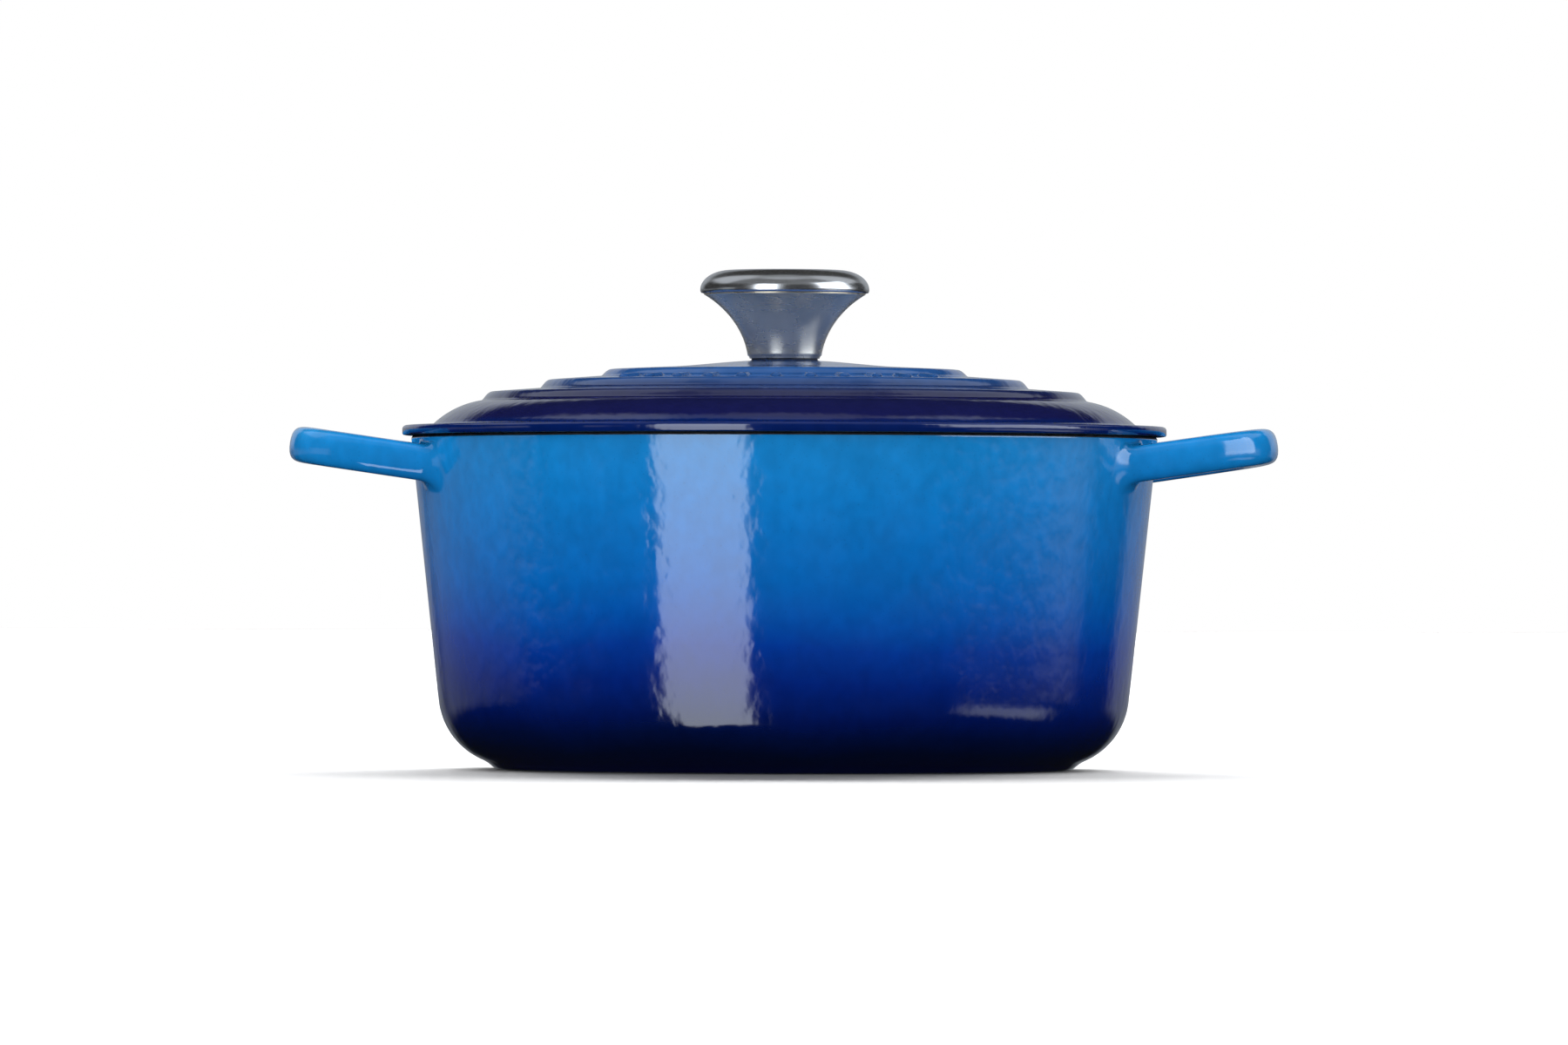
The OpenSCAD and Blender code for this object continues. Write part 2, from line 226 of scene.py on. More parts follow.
def fillet_out(gap, r):
    """How far a fillet of radius r stands out at a distance from the wall."""
    return 0 if gap >= r else r - math.sqrt(r * r - (r - max(gap, 0)) ** 2)


def root_section(gap, side):
    """A leg's section at a distance from the wall, with the fillet round its root."""
    beside, above, below = ROOT_FILLET
    ring = []
    for a in section_angles():
        s = section_point(a)
        flare = above if math.sin(a) > 0 else below
        out = fillet_out(gap, beside * math.cos(a) ** 2 + flare * math.sin(a) ** 2)
        v = LEG_GAP / 2 - s[0] - out * math.cos(a)
        w = s[1] + out * math.sin(a)
        u = 6
        for _ in range(5):               # settles on the cone of the wall
            z = LOOP_Z0 + u * math.sin(TILT) + w * math.cos(TILT)
            u = (math.sqrt((wall_r(z) + gap) ** 2 - v * v) - LOOP_X0 + w * math.sin(TILT)) / math.cos(TILT)
        ring.append(to_pot(u, side * v, w))
    return ring


def pot_profile():
    """(radius, height, slot), from under the pot, up the outside, over the rim and down inside."""
    enamel, black, sand, bare = 0, 1, 2, 3
    foot = FOOT_R - FOOT_W
    out = [(r, RECESS, bare) for r in (12, 40, 66, foot - 1.4, foot - 0.5)]
    out += [(foot + 0.1, RECESS - 0.25, bare), (foot + 0.6, 0.1, bare), (foot + 1.1, 0, bare),
            (FOOT_R - 4, 0, bare), (FOOT_R - 0.6, 0, bare), (FOOT_R, 0.15, bare),
            (FOOT_R + 1.4, 1.2, enamel)]
    angle = -math.asin((CORNER_C[1] - FOOT_H) / CORNER_R)
    out += [(r, z, enamel) for r, z in arc(CORNER_C, CORNER_R, angle, -DRAFT, 11)]
    out += [(wall_r(z), z, enamel) for z in WALL_ROWS]
    hole = [len(out) + i for i in range(UPRIGHT + 1)]
    for i in range(UPRIGHT + 1):
        z = OPENING_Z0 + (OPENING_Z1 - OPENING_Z0) * i / UPRIGHT
        out.append((wall_r(z), z, enamel))
    out += [(wall_r(z), z, enamel) for z in (109.9, 110.5)]
    top = POT_H - RIM_OUTER_ROUND
    c = (wall_r(top) - RIM_OUTER_ROUND / math.cos(DRAFT), top)
    edge = arc(c, RIM_OUTER_ROUND, -DRAFT, math.pi / 2, 6)
    out += [(r, z, black if i > 1 else enamel) for i, (r, z) in enumerate(edge)]
    top = POT_H - RIM_INNER_ROUND
    c = (wall_r(top) - WALL / math.cos(DRAFT) + RIM_INNER_ROUND / math.cos(DRAFT), top)
    out += [(r, z, black) for r, z in arc(c, RIM_INNER_ROUND, math.pi / 2, math.pi - DRAFT, 5)]
    for z in LINING_ROWS:
        out.append((wall_r(z) - WALL / math.cos(DRAFT), z, sand if z < BLACK_DOWN_TO else black))
    out += [(r, z, sand) for r, z in arc(CORNER_C, CORNER_R - WALL, -DRAFT, -math.pi / 2, 9)]
    floor = CORNER_C[1] - CORNER_R + WALL
    out += [(r, floor, sand) for r in (86, 78, 66, 50, 34, 18, 8)]
    return out, hole, floor


def build_pot(materials):
    """The pot as one mesh: its profile turned into a grid, and the two handles let into it."""
    profile, hole, floor = pot_profile()
    n, rows = COLUMNS, len(profile)
    step = 2 * math.pi / n
    angle = np.tile(np.arange(n) * step, (rows, 1))
    height = np.tile(np.array([p[1] for p in profile])[:, None], (1, n))
    radius = np.tile(np.array([p[0] for p in profile])[:, None], (1, n))
    legs = [(0, 1), (0, -1), (n // 2, 1), (n // 2, -1)]      # each handle's middle column, and the leg's side
    handles = {0: {}, n // 2: {}}
    open_faces, unused, fixed = set(), set(), set()
    k0, k1 = hole[0], hole[-1]
    inner, outer = FIRST_COLUMN, FIRST_COLUMN + ACROSS
    for middle, turn in legs:
        loop = [(k0 + i, inner) for i in range(UPRIGHT)]
        loop += [(k1, inner + i) for i in range(ACROSS)]
        loop += [(k1 - i, outer) for i in range(UPRIGHT)]
        loop += [(k0, outer - i) for i in range(ACROSS)]
        loop = [(k, (middle + turn * c) % n) for k, c in loop]
        ring = root_section(0, turn)
        spin = middle * step
        for (k, c), (x, y, z) in zip(loop, ring):
            a = math.atan2(y, x) + spin
            angle[k, c] = c * step + math.remainder(a - c * step, 2 * math.pi)
            height[k, c] = z
            fixed.add((k, c))
        handles[middle][turn] = loop
        for c in range(inner, outer):
            column = (middle + c) % n if turn > 0 else (middle - c - 1) % n
            open_faces.update((k, column) for k in range(k0, k1))
        for c in range(inner + 1, outer):
            unused.update((k, (middle + turn * c) % n) for k in range(k0 + 1, k1))
    # the grid round each opening settles on the wall
    window = [(k, (middle + turn * c) % n) for middle, turn in legs
              for c in range(inner - 5, outer + 6) for k in range(k0 - 4, k1 + 3)]
    window = [w for w in dict.fromkeys(window) if w not in fixed and w not in unused]
    for _ in range(SETTLE_PASSES):
        for k, c in window:
            away = [(k - 1, c), (k + 1, c), (k, (c - 1) % n), (k, (c + 1) % n)]
            offs = [math.remainder(angle[q] - angle[k, c], 2 * math.pi) for q in away if q not in unused]
            angle[k, c] += sum(offs) / len(offs)
            if k <= k1:
                height[k, c] = sum(height[q] for q in away if q not in unused) / len(offs)
            elif k == k1 + 1:
                height[k, c] = height[k - 1, c] * 0.5 + height[k + 1, c] * 0.5
    wall = slice(k0 - 4, k1 + 3)
    radius[wall] = RIM_R - (POT_H - height[wall]) * math.tan(DRAFT)

    index, points, faces, slots = {}, [], [], []

    def vertex(k, c):
        if (k, c) not in index:
            index[k, c] = len(points)
            r, a = radius[k, c], angle[k, c]
            points.append((r * math.cos(a), r * math.sin(a), height[k, c]))
        return index[k, c]

    for k in range(rows - 1):
        for c in range(n):
            if (k, c) not in open_faces:
                d = (c + 1) % n
                faces.append((vertex(k, c), vertex(k, d), vertex(k + 1, d), vertex(k + 1, c)))
                slots.append(profile[k + 1][2])
    for k, z, flip in ((0, RECESS, True), (rows - 1, floor, False)):
        middle = len(points)
        points.append((0, 0, z))
        for c in range(n):
            a, b = vertex(k, c), vertex(k, (c + 1) % n)
            faces.append((b, a, middle) if flip else (a, b, middle))
            slots.append(profile[k][2])

    t0 = math.asin((LEG_END / LOOP_REACH) ** (PATH_POWER / 2))
    for middle, openings in handles.items():
        turned = -1 if middle else 1
        rings = [root_section(g, 1) for g in ROOT_GAPS]
        rings += [loop_section(t0 + (math.pi - 2 * t0) * i / LOOP_STEPS) for i in range(LOOP_STEPS + 1)]
        rings += [root_section(g, -1) for g in reversed(ROOT_GAPS)]
        loops = [[vertex(*q) for q in openings[1]]]
        for ring in rings:
            first = len(points)
            points += [(x * turned, y * turned, z) for x, y, z in ring]
            loops.append(list(range(first, first + len(ring))))
        loops.append([vertex(*q) for q in openings[-1]])
        for p, q in zip(loops, loops[1:]):
            m = len(p)
            faces += [(p[i], q[i], q[(i + 1) % m], p[(i + 1) % m]) for i in range(m)]
            slots += [0] * m
    return make_object("pot_body", points, faces, materials, slots)


# ---- lid: turned, with soft raised bars on one tread and nubs on its rib

MARKS, MARK_PITCH = 11, rad(9)
MARK_L, MARK_W, MARK_H, MARK_EDGE = 8.0, 3.2, 0.9, 0.55
MARK_R = (RING_R[1] - RING_RUN + RING_R[2]) / 2


def lid_top():
    """The lid's face as (radius, height) from rim to boss, its raised bars' rows, and its top height."""
    c = (DOME_R0 - DOME_ARC_R * math.cos(DOME_A0), POT_H + RIM_T + 0.3 - DOME_ARC_R * math.sin(DOME_A0))
    pts = arc(c, DOME_ARC_R, DOME_A0, DOME_A1, 14)
    r, z = pts[-1]
    marks = []
    for n in range(3):
        slope = math.tan(math.pi / 2 - DOME_A1) if n == 0 else TREAD
        foot = z + (r - RING_R[n]) * slope
        inner_edge, outer_edge = r, RING_R[n]
        if n == 2:
            a, b = MARK_R + MARK_L / 2 + 1.4, MARK_R - MARK_L / 2 - 1.4
            marks = [len(pts), 0]
            fine = [a - (a - b) * i / 28 for i in range(29)]
            pts += [(q, z + (r - q) * slope) for q in fine]
            marks[1] = len(pts)
        elif n == 1:
            pts += [(q, z + (r - q) * slope) for q in (93, 88)]
        pts += [(outer_edge + 0.7, foot - 0.7 * slope), (outer_edge + 0.15, foot + 0.02)]
        for i in range(1, 11):
            t = i / 10
            pts.append((outer_edge - RING_RUN * t, foot + RING_RISE[n] * math.sin(math.pi / 2 * t)))
        r, z = pts[-1]
    for q in (54, 48, 43, 39, 36, 33, 30, 27, 24, 21, 18.5, 16, 14, 12.6):
        flare = float(smooth((BOSS_FLARE - q) / (BOSS_FLARE - BOSS_R)))
        pts.append((q, z + (r - q) * CROWN + (BOSS_H - 0.25) * flare))
    z += (r - BOSS_R) * CROWN
    pts += [(BOSS_R + 0.2, z + BOSS_H - 0.2), (BOSS_R - 0.12, z + BOSS_H - 0.06), (BOSS_R - 0.4, z + BOSS_H)]
    return pts, marks, z + BOSS_H


def mark_shift(r):
    """How far the lid's face rises at radius r, for each angle, over the raised bars."""
    centres = [middle + (i - (MARKS - 1) / 2) * MARK_PITCH
               for middle in (-math.pi / 2, math.pi / 2) for i in range(MARKS)]

    def shift(a):
        up = np.zeros_like(a)
        for c in centres:
            da = np.remainder(a - c + math.pi, 2 * math.pi) - math.pi
            x, y = r * np.cos(da), r * np.sin(da)
            half = (MARK_L - MARK_W) / 2
            d = np.hypot(np.maximum(np.abs(x - MARK_R) - half, 0), y)
            d = np.where(np.abs(da) > 0.5, 99, d)
            up = np.maximum(up, MARK_H * smooth((MARK_W / 2 + MARK_EDGE - d) / (2 * MARK_EDGE)))
        return 0 * a, up
    return shift


def nub_shift(out):
    """Three nubs round the lid's rib, each standing out by this much."""
    def shift(a):
        d = np.abs(np.remainder(a - rad(30) + math.pi / 3, 2 * math.pi / 3) - math.pi / 3)
        return out * smooth((0.044 - d) / 0.014), 0 * a
    return shift


def build_lid(materials):
    """The lid as one turned mesh: hollow underneath, with its rib, its bore and its raised bars."""
    enamel, black, sand = 0, 1, 2
    few, many = 240, 720
    top, marks, boss = lid_top()
    pad = boss - BOSS_H - LID_T - 0.4
    lid = Turned()
    # down the screw hole's wall, out under the lid, over the rim and back to the boss
    lid.ring(2.75, boss - 0.25, few, enamel)
    lid.ring(2.75, pad + 0.3, few, sand)
    lid.ring(3.0, pad, few, sand)
    for r, z in ((7, pad), (10.2, pad), (11, pad + 0.1), (11.8, pad + 0.36)):
        lid.ring(r, z, few, sand)
    under = [(r, z - LID_T) for r, z in reversed(top) if BOSS_R + 3 < r < RIB_R - RIB_W - 1]
    under = [p for i, p in enumerate(under) if not (MARK_R - 5 < p[0] < MARK_R + 5 and i % 6)]
    for r, z in under:
        lid.ring(r, z, few, sand)
    a = RIB_R - RIB_W
    for r, z in ((a - 0.7, 112.9), (a - 0.25, 111.6), (a - 0.05, 109.6), (a, 108.9), (a + 0.25, 108.2),
                 (a + 0.9, 107.82), (a + 1.8, 107.8), (RIB_R - 1.2, 107.82)):
        lid.ring(r, z, few, sand)
    for r, z, out in ((RIB_R - 0.6, 108.1, 0.1), (RIB_R - 0.38, 108.7, 0.5), (RIB_R - 0.28, 109.5, 0.6),
                      (RIB_R - 0.15, 110.4, 0.6), (RIB_R - 0.02, 111.3, 0.3)):
        lid.ring(r, z, many, sand, nub_shift(out))
    lid.ring(RIB_R + 0.15, 111.8, few, sand)
    for r in (RIB_R + 0.6, RIM_R - 3, RIM_R + 1.2, LID_R - 0.9):
        lid.ring(r, POT_H, few, black)
    lid.ring(LID_R - 0.3, POT_H + 0.12, few, black)
    lid.ring(LID_R, POT_H + 0.5, few, enamel)
    edge = (LID_R - 1.3, POT_H + RIM_T - 0.4 - 1.3)
    for r, z in arc(edge, 1.3, 0, math.pi / 2, 7):
        lid.ring(r, z, few, enamel)
    for r, z in ((124, 115.42), (121, 115.52), (118.9, 115.6), (118.2, 115.68)):
        lid.ring(r, z, few, enamel)
    for i, (r, z) in enumerate(top):
        on = marks[0] <= i < marks[1]
        lid.ring(r, z, many if on else few, enamel, mark_shift(r) if on else None)
    lid.ring(6, boss, few, enamel)
    lid.ring(3.0, boss, few, enamel)
    lid.close(enamel)
    return make_object("lid_body", lid.points, lid.faces, materials, lid.slots)


# ---- knob: two pressed shells, closed at their edges

KNOB_COLUMNS = 160
BOSS_Z = lid_top()[2]
KNOB_R, KNOB_H, FOOT_RING_R, SHEET, STEM_LIP = 28.4, 30.2, 12.4, 1.1, 0.9
CAP_H, CAP_SIDE, CAP_BELLY, CAP_DISH = 8.0, 10.0, 1.4, 1.7
KNOB_Z = BOSS_Z + 0.5
STEM_Z = KNOB_Z + STEM_LIP
SEAM_Z = BOSS_Z + KNOB_H - CAP_H
STEM_A, STEM_AXES = rad(6.7), (37.0, 30.0)
STEM_TOP = math.asin(math.sin(STEM_A) + (SEAM_Z - STEM_Z) / STEM_AXES[1])


def stem_r(a):
    """Radius of the stem's flared side, a quarter of an ellipse, at angle a."""
    return FOOT_RING_R + STEM_AXES[0] * (math.cos(STEM_A) - math.cos(a))


SEAM_R = stem_r(STEM_TOP)


def build_stem(material):
    """The flared shell between the lid's boss and the cap."""
    def side(inset, n):
        out = []
        for i in range(n + 1):
            a = STEM_A + (STEM_TOP - STEM_A) * i / n
            z = STEM_Z + STEM_AXES[1] * (math.sin(a) - math.sin(STEM_A))
            out.append((stem_r(a) - inset / math.cos(a), z))
        return out
    outer, inner = side(0, 30), side(SHEET, 12)
    outer[0] = (outer[0][0] - 0.12, outer[0][1])
    outer.insert(1, (outer[0][0] + 0.14, outer[0][1] + 0.15))
    r, z = outer.pop()
    outer += [(r - 0.35, z - 0.28), (r - 0.3, z - 0.1), (r - 0.5, z)]
    t = Turned()
    for r, z in outer + list(reversed(inner)):
        t.ring(r, z, KNOB_COLUMNS)
    t.close()
    return make_object("knob_stem_shell", t.points, t.faces, [material], t.slots)


def build_cap(material):
    """The dished cap, with its edge rolled in over the stem's."""
    def side(inset, n):
        low = [(SEAM_R + (KNOB_R - SEAM_R) * math.sqrt(1 - (1 - i / n) ** 2) - inset,
                SEAM_Z + CAP_BELLY * i / n) for i in range(n)]
        high = [(KNOB_R - CAP_SIDE + (CAP_SIDE - inset) * math.cos(math.pi / 2 * i / (3 * n)),
                 SEAM_Z + CAP_BELLY + (CAP_H - CAP_BELLY - inset) * math.sin(math.pi / 2 * i / (3 * n)))
                for i in range(3 * n + 1)]
        return low + high
    outer, inner = side(0, 8), side(SHEET, 4)
    flat = KNOB_R - CAP_SIDE

    def dish(t, inset):
        return (flat * (1 - t), SEAM_Z + CAP_H - inset - CAP_DISH * (1 - math.cos(math.pi * t)) / 2)
    t = Turned()
    # inside face from its middle out to the rolled edge, round the flange, and up the outside
    for i in range(11, -1, -1):
        t.ring(*dish(i / 12, SHEET), KNOB_COLUMNS)
    for r, z in reversed(inner[4:]):
        t.ring(r, z, KNOB_COLUMNS)
    for r, z in ((KNOB_R - SHEET - 0.4, SEAM_Z + 0.8), (SEAM_R - 4.3, SEAM_Z + 0.8),
                 (SEAM_R - 4.3, SEAM_Z - 0.8), (SEAM_R - 3.3, SEAM_Z - 0.8), (SEAM_R - 3.3, SEAM_Z),
                 (SEAM_R - 0.5, SEAM_Z), (SEAM_R - 0.25, SEAM_Z + 0.04), (SEAM_R + 0.02, SEAM_Z + 0.22)):
        t.ring(r, z, KNOB_COLUMNS)
    for r, z in outer[2:]:
        t.ring(r, z, KNOB_COLUMNS)
    for i in range(1, 24):
        t.ring(*dish(i / 24, 0), KNOB_COLUMNS)
    t.cap(SEAM_Z + CAP_H - CAP_DISH)
    t.cap(SEAM_Z + CAP_H - CAP_DISH - SHEET, start=True)
    return make_object("knob_cap_shell", t.points, t.faces, [material], t.slots)


# ---------------------------------------------------------------- materials

def srgb(r, g, b):
    """A colour from 0 to 255 as Blender's linear values."""
    def lin(c):
        c /= 255
        return c / 12.92 if c <= 0.04045 else ((c + 0.055) / 1.055) ** 2.4
    return (lin(r), lin(g), lin(b), 1.0)


class Nodes:
    """A material's node tree, with short calls for the nodes it needs."""

    def __init__(self, name):
        self.material = bpy.data.materials.new(name)
        self.material.use_nodes = True
        self.tree = self.material.node_tree
        self.shader = self.tree.nodes["Principled BSDF"]
        self.place = self.new("ShaderNodeTexCoord").outputs["Object"]

    def new(self, kind, **settings):
        node = self.tree.nodes.new(kind)
        for key, value in settings.items():
            setattr(node, key, value)
        return node

    def link(self, a, b):
        self.tree.links.new(a, b)

    def put(self, node, key, value):
        """Gives an input a link or a plain value."""
        if isinstance(value, bpy.types.NodeSocket):
            self.link(value, node.inputs[key])
        else:
            node.inputs[key].default_value = value

    def noise(self, scale, detail=2.0, roughness=0.5, stretch=(1, 1, 1)):
        """Noise of about scale blobs to the metre, from 0 to 1; a lower stretch makes them longer."""
        place = self.new("ShaderNodeMapping")
        place.inputs["Scale"].default_value = stretch
        self.link(self.place, place.inputs["Vector"])
        n = self.new("ShaderNodeTexNoise")
        self.link(place.outputs["Vector"], n.inputs["Vector"])
        for key, value in (("Scale", scale), ("Detail", detail), ("Roughness", roughness)):
            n.inputs[key].default_value = value
        return n.outputs["Fac"]

    def math(self, operation, a, b=0.0):
        n = self.new("ShaderNodeMath", operation=operation)
        self.put(n, 0, a)
        self.put(n, 1, b)
        return n.outputs[0]

    def remap(self, value, a0, a1, b0, b1):
        n = self.new("ShaderNodeMapRange")
        for i, v in enumerate((value, a0, a1, b0, b1)):
            self.put(n, i, v)
        return n.outputs[0]

    def ramp(self, value, stops, interpolation="EASE"):
        n = self.new("ShaderNodeValToRGB")
        e = n.color_ramp.elements
        n.color_ramp.interpolation = interpolation
        for i, (at, colour) in enumerate(stops):
            point = e[i] if i < 2 else e.new(at)
            point.position, point.color = at, colour
        self.put(n, "Fac", value)
        return n.outputs["Color"]

    def mix(self, factor, a, b, blend="MIX"):
        n = self.new("ShaderNodeMix", data_type="RGBA", blend_type=blend)
        self.put(n, 0, factor)
        self.put(n, 6, a)
        self.put(n, 7, b)
        return n.outputs[2]

    def axis(self, name):
        n = self.new("ShaderNodeSeparateXYZ")
        self.link(self.place, n.inputs[0])
        return n.outputs[name]

    def radius(self):
        """Distance from the object's vertical axis, in metres."""
        x, y = self.axis("X"), self.axis("Y")
        return self.math("SQRT", self.math("ADD", self.math("MULTIPLY", x, x), self.math("MULTIPLY", y, y)))

    def bump(self, *layers):
        """Stacks (height, distance in metres) layers into the shader's normal."""
        normal = None
        for height, distance in layers:
            n = self.new("ShaderNodeBump")
            n.inputs["Strength"].default_value = 1.0
            n.inputs["Distance"].default_value = distance
            self.link(height, n.inputs["Height"])
            if normal is not None:
                self.link(normal, n.inputs["Normal"])
            normal = n.outputs["Normal"]
        self.link(normal, self.shader.inputs["Normal"])

    def set(self, **values):
        """Gives the shader its inputs and returns the material."""
        for key, value in values.items():
            self.put(self.shader, key.replace("_", " "), value)
        return self.material


def enamel(name, stops, wander):
    """Glossy vitreous enamel with an orange-peel surface, painted shade that follows its dimples, and fine
    specks.

    Its colour follows the height in millimetres through stops, give or take wander, in metres.
    """
    low, high = stops[0][0], stops[-1][0]
    m = Nodes(name)
    drift = m.math("MULTIPLY", m.math("SUBTRACT", m.noise(9, 2), 0.5), wander)
    at = m.remap(m.math("ADD", m.axis("Z"), drift), low * MM, high * MM, 0, 1)
    colour = m.ramp(at, [((z - low) / (high - low), c) for z, c in stops], "LINEAR")
    dimple_relief_and_shade = m.noise(230, 1.5, 0.45, stretch=(1, 1, 0.75))
    # the tone is the enamel's own uneven colour at the large scale, times painted shade of the orange peel at
    # the small one, darker and lighter with the same dimples that bump the surface
    cloud = m.math("MULTIPLY", m.remap(m.noise(42, 3, 0.6), 0.3, 0.7, 0.93, 1.07),
                   m.remap(dimple_relief_and_shade, 0.3, 0.7, 0.93, 1.07))
    tone = m.new("ShaderNodeHueSaturation")
    m.link(colour, tone.inputs["Color"])
    m.link(cloud, tone.inputs["Value"])
    speck = m.remap(m.noise(1400, 1), 0.68, 0.76, 0, 0.18)
    colour = m.mix(speck, tone.outputs["Color"], (0.0, 0.004, 0.02, 1))
    rough = m.remap(m.noise(60, 3), 0.3, 0.7, 0.07, 0.13)
    m.bump((dimple_relief_and_shade, 0.00017), (m.noise(70, 1), 0.0001))
    return m.set(Base_Color=colour, Roughness=rough, Metallic=0.0, IOR=1.5,
                 Coat_Weight=0.4, Coat_Roughness=0.04, Coat_IOR=1.5)


def exterior_blue():
    """Nearly black at the foot, through deep blue, to a bright blue at the rim."""
    stops = [(0, srgb(3, 5, 34)), (6.5, srgb(1, 8, 35)), (12.4, srgb(0, 12, 54)), (18, srgb(0, 16, 76)),
             (30, srgb(0, 30, 110)), (41.5, srgb(0, 49, 138)), (50, srgb(0, 71, 157)),
             (65, srgb(2, 94, 174)), (88, srgb(9, 112, 187)), (110.5, srgb(18, 126, 196)),
             (117, srgb(46, 140, 200))]
    return enamel("blue_enamel", stops, 0.014)


def lid_navy():
    """Navy on the lid's sides, and a brighter blue towards its crown."""
    stops = [(112, srgb(2, 26, 88)), (115.7, srgb(3, 26, 84)), (117.5, srgb(17, 20, 68)),
             (125, srgb(20, 24, 64)), (127.5, srgb(28, 46, 90)), (130, srgb(32, 68, 122)),
             (132.5, srgb(34, 78, 136)), (137, srgb(32, 74, 136))]
    return enamel("navy_enamel", stops, 0.004)


def matte_black():
    """The unglazed look of the two rims."""
    m = Nodes("matte_black_enamel")
    grain = m.noise(900, 3, 0.6)
    m.bump((grain, 0.00025))
    cloud = m.remap(m.noise(300, 2), 0.35, 0.65, 0, 1)
    return m.set(Base_Color=m.mix(cloud, (0.009, 0.009, 0.011, 1), (0.02, 0.02, 0.023, 1)),
                 Roughness=m.remap(grain, 0.3, 0.7, 0.42, 0.62), Metallic=0.0)


def sand_enamel():
    """The pale lining, with fine brown specks."""
    m = Nodes("sand_enamel")
    cloud = m.ramp(m.noise(30, 4, 0.6), [(0.3, srgb(182, 169, 143)), (0.7, srgb(196, 186, 163))])
    speck = m.remap(m.noise(700, 1), 0.66, 0.72, 0, 0.45)
    m.bump((m.noise(170, 1.5), 0.0006), (m.noise(600, 2), 0.0001))
    return m.set(Base_Color=m.mix(speck, cloud, srgb(124, 108, 84)),
                 Roughness=m.remap(m.noise(80, 2), 0.3, 0.7, 0.16, 0.28),
                 Metallic=0.0, Coat_Weight=0.3, Coat_Roughness=0.1)


def bare_foot():
    """The rough dark ring and recess under the pot."""
    m = Nodes("foot_enamel")
    grain = m.noise(500, 4, 0.65)
    m.bump((grain, 0.0004), (m.noise(120, 2), 0.0006))
    tone = m.ramp(grain, [(0.3, (0.004, 0.005, 0.012, 1)), (0.7, (0.014, 0.015, 0.026, 1))])
    return m.set(Base_Color=tone, Roughness=m.remap(grain, 0.3, 0.7, 0.35, 0.6), Metallic=0.0)


def turned_steel(name, light, foot, rough, metal, lines, scratch):
    """Steel finished on a lathe: fine rings about the vertical axis, with soft stains. Its tint goes from
    foot, at the knob's foot, to light, at the seam under the cap; where these differ, the warmer, lighter top
    is a painted reflection that offsets the blue the stem mirrors from the lid."""
    m = Nodes(name)
    lathe = m.new("ShaderNodeTexNoise", noise_dimensions="1D")
    along = m.math("ADD", m.radius(), m.math("MULTIPLY", m.axis("Z"), 0.8))
    m.link(along, lathe.inputs["W"])
    lathe.inputs["Scale"].default_value = lines
    lathe.inputs["Detail"].default_value = 3
    rings = lathe.outputs["Fac"]
    stain = m.noise(70, 3, 0.6)
    # painted reflection where foot and light differ: the colour warms and lightens with height
    painted_reflection_tint = m.mix(m.remap(m.axis("Z"), STEM_Z * MM, SEAM_Z * MM, 0, 1), foot + (1,), light + (1,))
    colour = m.mix(m.remap(stain, 0.3, 0.7, 1, 0), painted_reflection_tint, (0.86, 0.86, 0.86, 1), "MULTIPLY")
    m.bump((rings, scratch))
    base = m.math("ADD", m.remap(rings, 0.3, 0.7, rough * 0.97, rough * 1.03),
                  m.remap(stain, 0.3, 0.7, 0, rough * 0.2))
    return m.set(Base_Color=colour, Roughness=base, Metallic=metal, Anisotropic=0.35)


def zinc():
    """Plated steel of the hidden fixing."""
    m = Nodes("zinc_steel")
    grain = m.noise(400, 3)
    m.bump((grain, 0.00008))
    tone = m.ramp(m.noise(160, 3), [(0.3, (0.42, 0.43, 0.45, 1)), (0.7, (0.62, 0.62, 0.62, 1))])
    return m.set(Base_Color=tone, Roughness=m.remap(grain, 0.3, 0.7, 0.22, 0.4), Metallic=1.0)


def rubber():
    """The gasket's black rubber."""
    m = Nodes("black_rubber")
    grain = m.noise(1200, 2)
    m.bump((grain, 0.0001))
    tone = m.ramp(grain, [(0.3, (0.006, 0.006, 0.007, 1)), (0.7, (0.016, 0.016, 0.018, 1))])
    return m.set(Base_Color=tone, Roughness=m.remap(grain, 0.3, 0.7, 0.55, 0.8), Metallic=0.0)


BLUE, NAVY, BLACK, SAND, FOOT = exterior_blue(), lid_navy(), matte_black(), sand_enamel(), bare_foot()
POLISHED = turned_steel("polished_steel", (0.62, 0.62, 0.62), (0.62, 0.62, 0.62), 0.18, 0.95, 1300, 0.000002)
# the satin stem grows warmer and lighter towards the cap: a painted reflection that offsets the blue it
# mirrors from the lid
SATIN = turned_steel("satin_steel", (0.94, 0.82, 0.60), (0.68, 0.67, 0.62), 0.25, 0.82, 500, 0.0000001)
ZINC, RUBBER = zinc(), rubber()

# ---------------------------------------------------------------- the object

pot = build_pot([BLUE, BLACK, SAND, FOOT])
subdivide(pot, 1)
lid = build_lid([NAVY, BLACK, SAND])
cap = build_cap(POLISHED)
stem = build_stem(SATIN)
PIECES = ((pot, "pot", "pot", "blue_enamel"), (lid, "lid", "lid", "navy_enamel"),
          (cap, "knob_cap", "lid", "polished_steel"), (stem, "knob_stem", "lid", "satin_steel"))
for piece, node, body, slot in PIECES:
    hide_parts(node)
    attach(piece, body)

CAD_FINISHES = {"knob_base": SATIN, "knob_insert": ZINC, "knob_gasket": RUBBER, "knob_screw": ZINC,
                "lid_washer": ZINC, "lock_washer": ZINC}
for name, material in CAD_FINISHES.items():
    for material_slot in frame["nodes"][name].material_slots:
        material_slot.material = material

# ---------------------------------------------------------------- floor, light and camera

